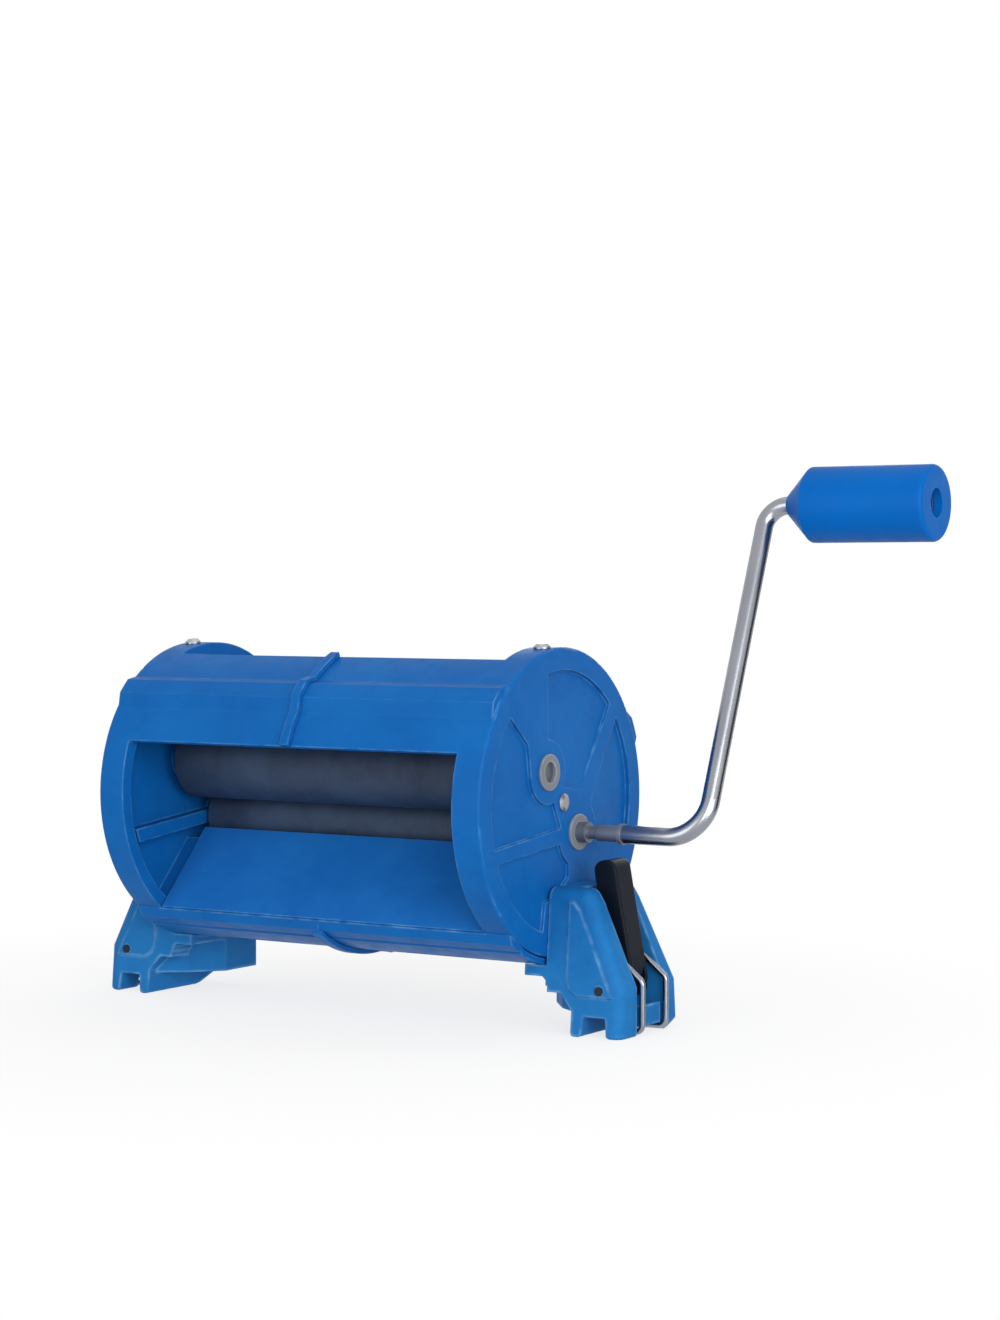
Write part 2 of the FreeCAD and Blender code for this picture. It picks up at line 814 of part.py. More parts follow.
def make_lug(number, angle, radius):
    """A tab of the left half that reaches over the right half, where a seam screw goes through."""
    lug = new_body(f"seam_lug_{number}")
    place(lug, z=axis_height)
    outer = radius + size("band_gap") + size("band_wall")
    first = angle + size("lug_half_angle")
    last = angle - size("lug_half_angle")
    for word, inner, reach in (("left", radius - size("band_gap"), size("band_left_reach")),
                               ("right", radius + size("band_gap"), size("lug_reach"))):
        shape = new_sketch(lug, f"seam_lug_{word}_sketch_{number}", "YZ_Plane")
        outline(shape, [(*polar(inner, first), ORIGIN, "right"), polar(inner, last),
                        (*polar(outer, last), ORIGIN, "left"), polar(outer, first)])
        pad(lug, f"seam_lug_{word}_{number}", shape, reach, flip=word == "left")
    return lug


def seam_tool(name, radius, reach):
    """Radial holes for the screws that hold the band to the right half."""
    tools = []
    for number, (angle, unused) in enumerate(SEAM_PLACES):
        hole = cylinder(f"{name}_{number + 1}", radius, reach)
        place(hole, x=size("seam_screw_place"), z=axis_height, axis=Vector(1, 0, 0), angle=angle)
        tools.append(hole)
    return fuse(name, tools)


def headed_screw(name, radius, length, head_radius, head, domed):
    """A screw on the Z axis: its shank hangs below the origin and its head stands above it."""
    body = new_body(name)
    profile = new_sketch(body, f"{name}_sketch", "XZ_Plane")
    rise = head * 0.55
    if domed:
        top = [(head_radius, 0), (head_radius, head - rise), (head_radius * 0.6, head), (0, head)]
    else:
        top = [(head_radius, 0), (head_radius, head), (0, head)]
    tip = radius * 0.5
    outline(profile, [(0, -length), (tip, -length), (radius, tip - length), (radius, 0)] + top)
    feature = body.newObject("PartDesign::Revolution", f"{name}_turned")
    feature.Profile = profile
    feature.ReferenceAxis = (profile, ["V_Axis"])
    feature.Angle = 360
    doc.recompute()
    return body


# The left half is the right half's mirror image with the band added.
end_half = make_end_half()
hood_band = make_band("hood_band", lambda grow: hood_outside(grow)[:FRONT_STOPS], "right", "left")
pan_band = make_band("pan_band", lambda grow: pan_outside(grow, grooved=False), "left", "right")
doc.recompute()
seam_reach = brow_radius + size("seam_screw_length")
pilot_tool = seam_tool("seam_pilot", size("seam_screw_radius") + size("seat_fit"), seam_reach)
clear_tool = seam_tool("seam_clear", size("seam_screw_radius") + size("seam_clear"), seam_reach)
top_screw_x = half_length - size("top_screw_place")
top_foot = drum_radius - size("top_screw_length") - size("blind_clear")
top_tool = cylinder("top_screw_hole", size("top_screw_radius") + size("seat_fit"),
                    size("top_screw_length") + size("pan_wall") * 2)
across, up = polar(top_foot, size("top_screw_angle"))
place(top_tool, x=top_screw_x, y=across, z=up + axis_height, axis=Vector(1, 0, 0),
      angle=size("top_screw_angle"))
bored_half = cut("bored_half", end_half, top_tool)
housing_right = cut("housing_right", bored_half, pilot_tool)
left_half = mirrored("left_half", bored_half)
lugs = [make_lug(number, *spot) for number, spot in enumerate(SEAM_PLACES, start=1)]
doc.recompute()
left_with_band = fuse("left_with_band", [left_half, hood_band, pan_band] + lugs)
housing_left = cut("housing_left", left_with_band, clear_tool)


# ---------------------------------------------------------------- rollers, shafts, bushes, washers
def make_bush(name, centre):
    """A flanged plain bearing, pushed into the end plate from outside."""
    body = new_body(name)
    place(body, y=centre[0], z=centre[1] + axis_height)
    profile = new_sketch(body, f"{name}_sketch", "XZ_Plane")
    bore = size("shaft_radius") + size("running_fit")
    outline(profile, [(boss_face, bore), (half_length + size("bush_flange"), bore),
                      (half_length + size("bush_flange"), size("bush_flange_radius")),
                      (half_length, size("bush_flange_radius")), (half_length, size("bush_radius")),
                      (boss_face, size("bush_radius"))])
    revolve(body, f"{name}_turned", profile)
    soften(body, "Fillet", f"{name}_edge",
           lambda edge: lies_at(edge, x=(half_length + size("bush_flange")).value)
           and edge.Length > 2 * math.pi * size("bush_radius").value, size("bush_flange") / 3)
    return body


def make_shaft(name, centre, right_end, spigot):
    """A round steel shaft through the roller, the washers and both bushes."""
    body = new_body(name)
    place(body, y=centre[0], z=centre[1] + axis_height)
    profile = new_sketch(body, f"{name}_sketch", "XZ_Plane")
    left_end = -(half_length + size("bush_flange") - size("shaft_recess"))
    corners = [(left_end, 0), (left_end, size("shaft_radius")), (right_end, size("shaft_radius"))]
    if spigot:
        corners += [(right_end, size("spigot_radius")),
                    (right_end + size("spigot_length"), size("spigot_radius")),
                    (right_end + size("spigot_length"), 0)]
    else:
        corners += [(right_end, 0)]
    outline(profile, corners)
    revolve(body, f"{name}_turned", profile)
    return body


def make_rubber(name, centre):
    """The rubber sleeve of a roller, bonded to its shaft."""
    body = new_body(name)
    place(body, y=centre[0], z=centre[1] + axis_height)
    profile = new_sketch(body, f"{name}_sketch", "YZ_Plane", -roller_end)
    ring(profile, 0, 0, size("roller_radius"))
    ring(profile, 0, 0, size("shaft_radius"))
    pad(body, f"{name}_sleeve", profile, roller_end * 2)
    soften(body, "Chamfer", f"{name}_ends",
           lambda edge: abs(edge.Length - 2 * math.pi * size("roller_radius").value) < 0.01,
           size("roller_chamfer"))
    return body


def make_washer(name, centre, side):
    """A thrust washer between the end of the rubber and the boss of an end plate."""
    body = new_body(name)
    place(body, y=centre[0], z=centre[1] + axis_height)
    inner = roller_end + size("seat_gap")
    outer = boss_face - size("seat_gap")
    start = inner if side > 0 else -outer
    profile = new_sketch(body, f"{name}_sketch", "YZ_Plane", start)
    ring(profile, 0, 0, size("washer_radius"))
    ring(profile, 0, 0, size("shaft_radius") + size("running_fit"))
    pad(body, f"{name}_disc", profile, outer - inner)
    return body


upper_bush_right = make_bush("upper_bush_right", UPPER)
lower_bush_right = make_bush("lower_bush_right", LOWER)
upper_bush_left = mirrored("upper_bush_left", upper_bush_right)
lower_bush_left = mirrored("lower_bush_left", lower_bush_right)
flange_face = half_length + size("bush_flange")
upper_shaft = make_shaft("upper_shaft", UPPER, flange_face - size("shaft_recess"), spigot=False)
stub_end = half_length + size("stub_length")
lower_shaft = make_shaft("lower_shaft", LOWER, stub_end, spigot=True)
upper_roller = make_rubber("upper_roller", UPPER)
lower_roller = make_rubber("lower_roller", LOWER)
thrust_washers = group("thrust_washers", [
    make_washer(f"washer_{word}_{number}", centre, side)
    for word, centre in (("upper", UPPER), ("lower", LOWER))
    for number, side in enumerate((-1, 1))])


# ---------------------------------------------------------------- drain board
def make_drain_board():
    """The sloped board that leads water from under the lower roller to the front lip."""
    body = new_body("drain_board")
    place(body, z=axis_height)
    profile = new_sketch(body, "board_sketch", "YZ_Plane")
    thick = size("board_thickness")
    lip = size("board_lip")
    none = constant(0)
    outline(profile, [board_point(none, none), board_point(board_length, none),
                      board_point(board_length, -thick), board_point(thick, -thick),
                      board_point(thick, -lip), board_point(none, -lip)])
    half = opening_side - size("board_side_gap")
    pad(body, "board", profile, half * 2, both_ways=True)
    top = Vector(0, board_top_y.value, board_top_z.value)
    soften(body, "Fillet", "board_top_edge",
           lambda edge: runs_along(edge, "x")
           and (edge.CenterOfMass - Vector(edge.CenterOfMass.x, top.y, top.z)).Length < 0.01,
           thick / 3)
    return body


drain_board = make_drain_board()


# ---------------------------------------------------------------- crank and grip
def make_crank_hub():
    """The sleeve that joins the crank rod to the lower shaft's spigot."""
    body = new_body("crank_hub")
    place(body, y=lower_y, z=lower_z + axis_height)
    start = half_length + size("stub_length") + size("hub_start")
    sleeve_end = start + size("hub_length")
    collar_end = sleeve_end + size("collar_length")
    socket_end = stub_end + size("spigot_length") + size("seat_gap")
    plug_end = collar_end + size("rod_socket_depth") - size("seat_gap")
    bore = size("spigot_radius") + size("seat_fit")
    profile = new_sketch(body, "hub_sketch", "XZ_Plane")
    outline(profile, [(start, bore), (socket_end, bore), (socket_end, 0), (plug_end, 0),
                      (plug_end, size("rod_socket_radius") - size("seat_fit")),
                      (collar_end, size("rod_socket_radius") - size("seat_fit")),
                      (collar_end, size("collar_radius")), (sleeve_end, size("collar_radius")),
                      (sleeve_end, size("hub_radius")), (start, size("hub_radius"))])
    revolve(body, "hub_turned", profile)
    hole = new_sketch(body, "hub_pin_sketch", "XY_Plane", -size("collar_radius"))
    ring(hole, start + size("cross_pin_place"), 0, size("cross_pin_radius") + size("seat_fit"))
    pocket(body, "hub_pin_hole", hole, size("collar_radius") * 2, flip=True)
    return body


def make_cross_pin():
    """The pin through the hub and the spigot."""
    body = new_body("crank_pin")
    place(body, y=lower_y, z=lower_z + axis_height)
    start = half_length + size("stub_length") + size("hub_start")
    profile = new_sketch(body, "pin_sketch", "XY_Plane", -size("hub_radius"))
    ring(profile, start + size("cross_pin_place"), 0, size("cross_pin_radius"))
    pad(body, "pin", profile, size("hub_radius") * 2)
    return body


crank_hub = make_crank_hub()
crank_pin = make_cross_pin()
pin_sketch = new_sketch(lower_shaft, "spigot_pin_sketch", "XY_Plane", -size("spigot_radius") - 1)
ring(pin_sketch, half_length + size("stub_length") + size("hub_start") + size("cross_pin_place"), 0,
     size("cross_pin_radius") + size("seat_fit"))
pocket(lower_shaft, "spigot_pin_hole", pin_sketch, size("spigot_radius") * 2 + 2, flip=True)

rod_start = (half_length + size("stub_length") + size("hub_start") + size("hub_length")
             + size("collar_length"))
rod_corner = half_length + size("crank_reach")
grip_start = rod_corner + size("upper_bend") + size("grip_gap")
grip_end = grip_start + size("grip_length")
rod_end = grip_end - size("grip_recess_depth") + size("grip_washer") + size("seat_gap")


def make_crank_rod():
    """A bent steel bar: out from the hub, up the crank's throw, and out again under the grip."""
    body = new_body("crank_rod")
    place(body, y=lower_y, z=lower_z + axis_height, axis=Vector(1, 0, 0), angle=-size("crank_lean"))
    throw = size("crank_radius")
    low, high = size("lower_bend"), size("upper_bend")
    path = new_sketch(body, "rod_path", "XZ_Plane")
    outline(path, [(rod_start, 0), (rod_corner - low, 0, (rod_corner - low, low), "left"),
                   (rod_corner, low), (rod_corner, throw - high, (rod_corner + high, throw - high),
                                       "right"),
                   (rod_corner + high, throw), (rod_end, throw)], closed=False)
    section = new_sketch(body, "rod_section", "YZ_Plane", rod_start)
    ring(section, 0, 0, size("rod_radius"))
    pipe = body.newObject("PartDesign::AdditivePipe", "rod")
    pipe.Profile = section
    pipe.Spine = (path, [])
    doc.recompute()
    socket = new_sketch(body, "rod_socket_sketch", "YZ_Plane", rod_start)
    ring(socket, 0, 0, size("rod_socket_radius"))
    pocket(body, "rod_socket", socket, size("rod_socket_depth"), flip=True)
    return body


def place_on_throw(body):
    """Put a piece on the axis of the crank's outer end."""
    lean = size("crank_lean")
    throw = size("crank_radius")
    place(body, y=lower_y + throw * sine(lean), z=lower_z + axis_height + throw * cosine(lean))


def make_grip():
    """The turning hand grip: a cone at its inner end, a barrel, and a recess in its outer end."""
    body = new_body("grip")
    place_on_throw(body)
    profile = new_sketch(body, "grip_sketch", "XZ_Plane")
    bore = size("rod_radius") + size("running_fit")
    radius = size("grip_radius")
    soft = size("grip_round")
    floor = grip_end - size("grip_recess_depth")
    outline(profile, [(grip_start, bore), (floor, bore), (floor, size("grip_recess_radius")),
                      (grip_end, size("grip_recess_radius")),
                      (grip_end, radius - soft, (grip_end - soft, radius - soft), "left"),
                      (grip_end - soft, radius), (grip_start + size("grip_cone_length"), radius),
                      (grip_start, size("grip_neck_radius"))])
    revolve(body, "grip_turned", profile)
    return body


def make_grip_washer():
    """The push-on washer that keeps the grip on the rod, in the grip's end recess."""
    body = new_body("grip_washer")
    place_on_throw(body)
    floor = grip_end - size("grip_recess_depth")
    profile = new_sketch(body, "grip_washer_sketch", "YZ_Plane", floor + size("seat_gap"))
    ring(profile, 0, 0, size("grip_washer_radius"))
    ring(profile, 0, 0, size("rod_radius"))
    pad(body, "grip_washer_disc", profile, size("grip_washer"))
    return body


crank_rod = make_crank_rod()
grip = make_grip()
grip_washer = make_grip_washer()


# ---------------------------------------------------------------- clamp feet
def make_foot():
    """The right-hand clamp foot: a slotted base that sits over the tub's rim, two cheeks for the
    toggle lever between them, and a saddle that carries the drum."""
    body = new_body("foot_right")
    middle = -foot_y
    half = size("foot_half_depth")
    flare = size("slot_flare")
    plate = half_length + size("disc_gap")
    step = half_length + size("saddle_step")
    waist = saddle_bottom - size("waist_drop")
    chamfer = size("saddle_chamfer")
    join = plate + size("cheek_foot")

    top_outboard = half_length + size("cheek_top_length")
    shoulder = top_outboard + size("cheek_shoulder_length")
    side = new_sketch(body, "side_sketch", "XZ_Plane", middle)
    outline(side, [
        (prong_inboard, 0), (slot_inboard - flare, 0), (slot_inboard, size("slot_height")),
        (slot_outboard, size("slot_height")), (slot_outboard + flare, 0),
        (foot_outboard, 0), (foot_outboard, size("cheek_nose_height")),
        (shoulder, cheek_top - size("cheek_shoulder_drop")), (top_outboard, cheek_top),
        (plate, cheek_top), (plate, waist + chamfer), (step, waist + chamfer), (step, waist),
        (prong_inboard - size("inner_prong"), waist), (prong_inboard, size("inner_prong_root")),
    ])
    pad(body, "side_shape", side, half * 2, both_ways=True)
    soften(body, "Fillet", "cheek_crown",
           lambda edge: runs_along(edge, "y") and (lies_at(edge, x=top_outboard.value)
                                                   or lies_at(edge, x=shoulder.value)),
           size("cheek_crown"))

    saddle = new_sketch(body, "saddle_sketch", "XZ_Plane", middle)
    saddle_top = axis_height - pan_radius + size("saddle_rise")
    outline(saddle, [
        (foot_inboard, saddle_bottom), (step - chamfer, saddle_bottom), (step, saddle_bottom - chamfer),
        (step, waist + flare), (join, waist + flare), (join, saddle_top - size("saddle_flank_drop")),
        (plate, saddle_top + chamfer), (foot_inboard, saddle_top + chamfer),
    ])
    pad(body, "saddle", saddle, half * 2, both_ways=True)

    # The front and back faces lean towards each other.
    rear = foot_y + half
    lean = size("cheek_lean_angle")
    face = size("face_height")
    narrow = cheek_top * sine(lean) / cosine(lean)
    faces = new_sketch(body, "lean_sketch", "YZ_Plane")
    for way in (-1, 1):
        edge = foot_y + way * half
        outline(faces, [(edge, 0), (edge - way * narrow, cheek_top),
                        (edge - way * narrow, cheek_top + narrow),
                        (edge + way * narrow, cheek_top + narrow), (edge + way * narrow, 0)])
    pocket(body, "lean", faces, foot_outboard + size("cheek_foot"), flip=True)
    soften(body, "Fillet", "cheek_round", is_cheek_corner, size("cheek_round"))
    soften(body, "Fillet", "prong_round",
           lambda edge: runs_along(edge, "y") and lies_at(edge, z=0), size("prong_round"))
    rise = new_sketch(body, "rear_rise_sketch", "YZ_Plane")
    outline(rise, [(foot_y + size("rear_rise_start"), 0), (rear, size("rear_rise")),
                   (rear + size("rear_rise"), size("rear_rise")), (rear, -size("rear_rise"))])
    pocket(body, "rear_rise", rise, foot_outboard + size("cheek_foot"), flip=True)

    # A raised, round-cornered panel on the front face and on the back face.
    border = size("pillow_border")
    panel_side = half_length + size("pillow_side")
    panel_top = cheek_top - border
    low, high = size("pillow_round"), size("pillow_crown")
    # The sloping edges need a longer step for a border of the same width.
    inset = border * 1.3
    for number, way in enumerate((-1, 1)):
        foot_of_face = foot_y + way * half
        panel = new_sketch(body, f"panel_{number + 1}_sketch", "XZ_Plane", -foot_of_face,
                           Vector(1, 0, 0), way * lean)
        outline(panel, [
            (panel_side, face + low, (panel_side + low, face + low), "left"),
            (panel_side + low, face),
            (foot_outboard - border, face),
            (shoulder - inset, panel_top + border * 0.4 - size("cheek_shoulder_drop")),
            (top_outboard - inset, panel_top),
            (panel_side + high, panel_top, (panel_side + high, panel_top - high), "left"),
            (panel_side, panel_top - high),
        ])
        pad(body, f"panel_{number + 1}", panel, size("pillow_height"), flip=way > 0)

    drum = new_sketch(body, "drum_seat_sketch", "YZ_Plane")
    ring(drum, 0, axis_height, pan_radius + size("seat_gap"))
    pocket(body, "drum_seat", drum, plate, flip=True)

    web = new_sketch(body, "web_sketch", "XY_Plane", size("slot_height") + size("web_rise"))
    inner = prong_inboard + size("web_rise")
    outline(web, [(inner, foot_y - size("web_front")), (inner, rear), (foot_inboard, rear),
                  (foot_inboard, foot_y + size("web_side")), (step, foot_y - size("web_step"))])
    pad(body, "web", web, saddle_bottom - size("slot_height") + size("web_rise"))

    space = new_sketch(body, "lever_space_sketch", "XZ_Plane", middle)
    outside = foot_outboard + size("cheek_foot")
    above = cheek_top + size("cheek_foot")
    wall = half_length + size("pocket_top_wall")
    outline(space, [(slot_inboard, pocket_floor), (outside, pocket_floor), (outside, above),
                    (wall, above), (wall, cheek_top), (slot_inboard, pin_height)])
    pocket(body, "lever_space", space, pocket_half * 2, both_ways=True)

    gaps = new_sketch(body, "wire_gap_sketch", "XY_Plane", pocket_floor + size("wire_clear"))
    gap_start = wire_hook_x - size("wire_bend") * 2
    box_outline(gaps, gap_start, outside, foot_y - pocket_half, foot_y - block_half)
    box_outline(gaps, gap_start, outside, foot_y + block_half, foot_y + pocket_half)
    pocket(body, "wire_gaps", gaps, pocket_floor + size("wire_clear") * 2)

    notch = new_sketch(body, "prong_notch_sketch", "XZ_Plane", middle)
    box_outline(notch, wire_hook_x - size("wire_bend"), outside, -size("wire_clear"), block_bottom)
    pocket(body, "prong_notch", notch, pocket_half * 2, both_ways=True)

    pins = new_sketch(body, "pin_hole_sketch", "XZ_Plane", middle)
    ring(pins, pin_x, pin_height, size("pin_radius") + size("seat_fit"))
    pocket(body, "pin_holes", pins, half * 2, both_ways=True)

    seats = new_sketch(body, "foot_screw_seat_sketch", "YZ_Plane", slot_inboard)
    bores = new_sketch(body, "foot_screw_bore_sketch", "YZ_Plane", slot_inboard)
    for side in (-1, 1):
        across = foot_y + side * size("foot_screw_spread")
        ring(seats, across, foot_screw_height, size("foot_screw_head_radius") + size("seam_clear"))
        ring(bores, across, foot_screw_height, size("foot_screw_radius") + size("seam_clear"))
    pocket(body, "foot_screw_seats", seats, slot_inboard - plate - size("foot_screw_seat"))
    pocket(body, "foot_screw_bores", bores, slot_inboard - half_length)
    return body


def is_cheek_corner(edge):
    """True for the corners where a foot's front or back face meets its outboard side."""
    slot_edge = (slot_outboard + size("slot_flare")).value + 0.1
    return (all(vertex.X > (half_length + size("cheek_top_length")).value - 0.1
                and (vertex.X > slot_edge or vertex.Z > pin_height.value)
                and abs(vertex.Y - foot_y.value) > pocket_half.value for vertex in edge.Vertexes)
            and abs(edge.Vertexes[0].Z - edge.Vertexes[-1].Z) > 1)


foot_right = make_foot()
foot_left = mirrored("foot_left", foot_right)


# ---------------------------------------------------------------- toggle levers, pins and bails
def make_lever():
    """The toggle lever, modelled along its own length with its pin hole at the origin and then
    leaned towards the drum. Two ears carry the pins, and a pointed prow lies between them."""
    body = new_body("lever_right")
    place(body, x=pin_x, y=foot_y, z=pin_height, axis=Vector(0, 1, 0), angle=-size("lever_lean"))
    hub = size("lever_hub_radius")
    shoulder = size("lever_shoulder")
    half = size("lever_half_depth")
    length = axis_height - pin_height - size("lever_drop")
    ear_top = shoulder + size("lever_ear_lap")
    foot = size("lever_prow")
    handle = new_sketch(body, "lever_sketch", "XZ_Plane")
    outline(handle, [(size("lever_outboard"), foot), (size("lever_outboard"), length),
                     (-size("lever_inboard"), length), (-size("lever_inboard"), shoulder),
                     (-size("lever_inboard") / 5, foot)])
    pad(body, "handle", handle, half * 2, both_ways=True)

    # The cutting sketches reach past the lever by this much.
    past = size("wire_clear")
    prow = new_sketch(body, "prow_sketch", "YZ_Plane", -size("lever_inboard") - past)
    for side in (-1, 1):
        edge = side * (half + past)
        outline(prow, [(edge, foot - past), (side * past, foot - past), (edge, shoulder)])
    pocket(body, "prow", prow, size("lever_inboard") + size("lever_outboard") + past * 2, flip=True)

    for number, side in enumerate((-1, 1)):
        start = half - size("lever_ear") if side < 0 else -half
        ear = new_sketch(body, f"ear_{number + 1}_sketch", "XZ_Plane", start)
        outline(ear, [(-hub * 0.75, ear_top), (-hub, 0, ORIGIN, "left"), (0, -hub, ORIGIN, "left"),
                      (hub, 0), (size("lever_outboard"), hub / 2), (size("lever_outboard"), ear_top)])
        pad(body, f"ear_{number + 1}", ear, size("lever_ear"))

    bore = new_sketch(body, "lever_pin_sketch", "XZ_Plane")
    ring(bore, 0, 0, size("pin_radius") + size("running_fit"))
    pocket(body, "lever_pin_hole", bore, (half + past) * 2, both_ways=True)

    for number, side in enumerate((-1, 1)):
        wire = new_sketch(body, f"wire_hole_{number + 1}_sketch", "XZ_Plane", -side * half)
        ring(wire, size("wire_lever_offset"), size("wire_lever_reach"),
             size("wire_radius") + size("running_fit"))
        pocket(body, f"wire_hole_{number + 1}", wire, size("wire_hole_depth"), flip=side > 0)

    soften(body, "Fillet", "lever_end",
           lambda edge: runs_along(edge, "y") and lies_at(edge, z=length.value),
           size("lever_end_round"))
    soften(body, "Fillet", "lever_edges",
           lambda edge: lies_at(edge, y=half.value) and edge.CenterOfMass.z > shoulder.value + 5
           and edge.Length > 4 or lies_at(edge, y=-half.value)
           and edge.CenterOfMass.z > shoulder.value + 5 and edge.Length > 4
           and not isinstance(edge.Curve, Part.Circle),
           size("lever_edge_round"))
    return body


def make_lever_pins():
    """A short headed pin from each cheek into one ear of the lever."""
    pieces = []
    lean = size("cheek_lean_angle")
    leaned = (pin_height - size("pin_head_radius")) * sine(lean) / cosine(lean)
    face = size("foot_half_depth") - leaned + size("pillow_height") + size("seat_fit")
    inner = size("lever_half_depth") - size("lever_ear")
    for number, side in enumerate((-1, 1)):
        body = new_body(f"lever_pin_{number + 1}")
        place(body, x=pin_x, y=foot_y, z=pin_height)
        profile = new_sketch(body, f"lever_pin_sketch_{number + 1}", "YZ_Plane")
        outline(profile, [(side * inner, 0), (side * inner, size("pin_radius")),
                          (side * face, size("pin_radius")), (side * face, size("pin_head_radius")),
                          (side * (face + size("pin_head")), size("pin_head_radius")),
                          (side * (face + size("pin_head")), 0)])
        revolve(body, f"lever_pin_turned_{number + 1}", profile)
        pieces.append(body)
    return group("lever_pins_right", pieces)


def rounded_path(points, radius):
    """Straight runs joined by tangent arcs of one radius."""
    edges = []
    start = points[0]
    for before, corner, after in zip(points, points[1:], points[2:]):
        inward = (corner - before).normalize()
        outward = (after - corner).normalize()
        turn = inward.getAngle(outward)
        back = radius * math.tan(turn / 2)
        first = corner - inward * back
        last = corner + outward * back
        middle = corner + (outward - inward).normalize() * (radius / math.cos(turn / 2) - radius)
        edges.append(Part.LineSegment(start, first).toShape())
        edges.append(Part.Arc(first, middle, last).toShape())
        start = last
    edges.append(Part.LineSegment(start, points[-1]).toShape())
    return Part.Wire(edges)


def make_bail():
    """The bent wire loop: from a hole in each side of the lever, out and down past the block, and
    round under it. It is one piece of wire, so it is swept along one path."""
    spread = wire_spread.value
    stub = (size("lever_half_depth") - size("wire_hole_depth") + size("seam_clear")).value
    lean = math.radians(size("lever_lean").value)
    across, along = size("wire_lever_offset").value, size("wire_lever_reach").value
    top_x = pin_x.value + across * math.cos(lean) - along * math.sin(lean)
    top_z = pin_height.value + across * math.sin(lean) + along * math.cos(lean)
    middle = foot_y.value
    leg_x, hook_x = wire_x.value, wire_hook_x.value
    elbow = (size("cheek_nose_height") + size("wire_elbow_rise")).value
    low = size("wire_foot_height").value
    half_path = [(top_x, stub, top_z), (top_x, spread, top_z), (leg_x, spread, elbow),
                 (leg_x, spread, low), (hook_x, spread, low)]
    front = [Vector(x, middle - y, z) for x, y, z in half_path]
    back = [Vector(x, middle + y, z) for x, y, z in reversed(half_path)]
    path = rounded_path(front + back, size("wire_bend").value)
    section = Part.Wire([Part.makeCircle(size("wire_radius").value, front[0], Vector(0, 1, 0))])
    bail = doc.addObject("Part::Feature", "bail_right")
    bail.Label = "bail_right"
    bail.Shape = path.makePipeShell([section], True, False)
    bail.Placement = FreeCAD.Placement()
    return bail


lever_right = make_lever()
lever_left = mirrored("lever_left", lever_right)
lever_pins_right = make_lever_pins()
lever_pins_left = mirrored("lever_pins_left", lever_pins_right)
bail_right = make_bail()
bail_left = mirrored("bail_left", bail_right)


# ---------------------------------------------------------------- screws
def make_top_screws():
    """The two rounded screws on top of the end rings."""
    pieces = []
    angle = size("top_screw_angle")
    for number, side in enumerate((-1, 1)):
        screw = headed_screw(f"top_screw_{number + 1}", size("top_screw_radius"),
                             size("top_screw_length"), size("top_screw_head_radius"),
                             size("top_screw_head"), domed=True)
        across, up = polar(drum_radius, angle)
        place(screw, x=side * top_screw_x, y=across, z=up + axis_height, axis=Vector(1, 0, 0),
              angle=angle)
        pieces.append(screw)
    return group("top_screws", pieces)


def make_centre_screws():
    """The screw at the middle of each end plate."""
    pieces = []
    for number, side in enumerate((-1, 1)):
        screw = headed_screw(f"centre_screw_{number + 1}", size("centre_screw_radius"),
                             size("centre_screw_length"), size("centre_screw_head_radius"),
                             size("centre_screw_head"), domed=True)
        place(screw, x=side * half_length, z=axis_height, axis=Vector(0, 1, 0), angle=90 * side)
        pieces.append(screw)
    return group("centre_screws", pieces)


def make_foot_screws():
    """Two screws through each foot into the end plate."""
    pieces = []
    for side in (-1, 1):
        for spread in (-1, 1):
            screw = headed_screw(f"foot_screw_{len(pieces) + 1}", size("foot_screw_radius"),
                                 size("foot_screw_length"), size("foot_screw_head_radius"),
                                 size("foot_screw_head"), domed=False)
            place(screw, x=side * (half_length + size("disc_gap") + size("foot_screw_seat")),
                  y=foot_y + spread * size("foot_screw_spread"), z=foot_screw_height,
                  axis=Vector(0, 1, 0), angle=90 * side)
            pieces.append(screw)
    return group("foot_screws", pieces)


def make_seam_screws():
    """The screws through the band of the left half into the right half."""
    pieces = []
    for angle, radius in SEAM_PLACES:
        screw = headed_screw(f"seam_screw_{len(pieces) + 1}", size("seam_screw_radius"),
                             size("seam_screw_length"), size("seam_screw_head_radius"),
                             size("seam_screw_head"), domed=True)
        across, up = polar(radius + size("band_gap") + size("band_wall"), angle)
        place(screw, x=size("seam_screw_place"), y=across, z=up + axis_height,
              axis=Vector(1, 0, 0), angle=angle)
        pieces.append(screw)
    return group("seam_screws", pieces)


top_screws = make_top_screws()
centre_screws = make_centre_screws()
foot_screws = make_foot_screws()
seam_screws = make_seam_screws()


# ---------------------------------------------------------------- check and write
NODES = [
    housing_left, housing_right, drain_board, foot_left, foot_right,
    upper_bush_left, upper_bush_right, lower_bush_left, lower_bush_right,
    upper_shaft, upper_roller, lower_shaft, lower_roller, thrust_washers,
    crank_hub, crank_pin, crank_rod, grip, grip_washer,
    lever_left, lever_right, lever_pins_left, lever_pins_right, bail_left, bail_right,
    top_screws, centre_screws, foot_screws, seam_screws,
]

doc.recompute()
for item in doc.Objects:
    if "Invalid" in item.State or "Error" in item.State:
        raise RuntimeError(f"{item.Name} failed: {item.State}")
for node in NODES:
    if node.Shape.isNull() or not node.Shape.isValid():
        raise RuntimeError(f"{node.Label} has no valid shape")

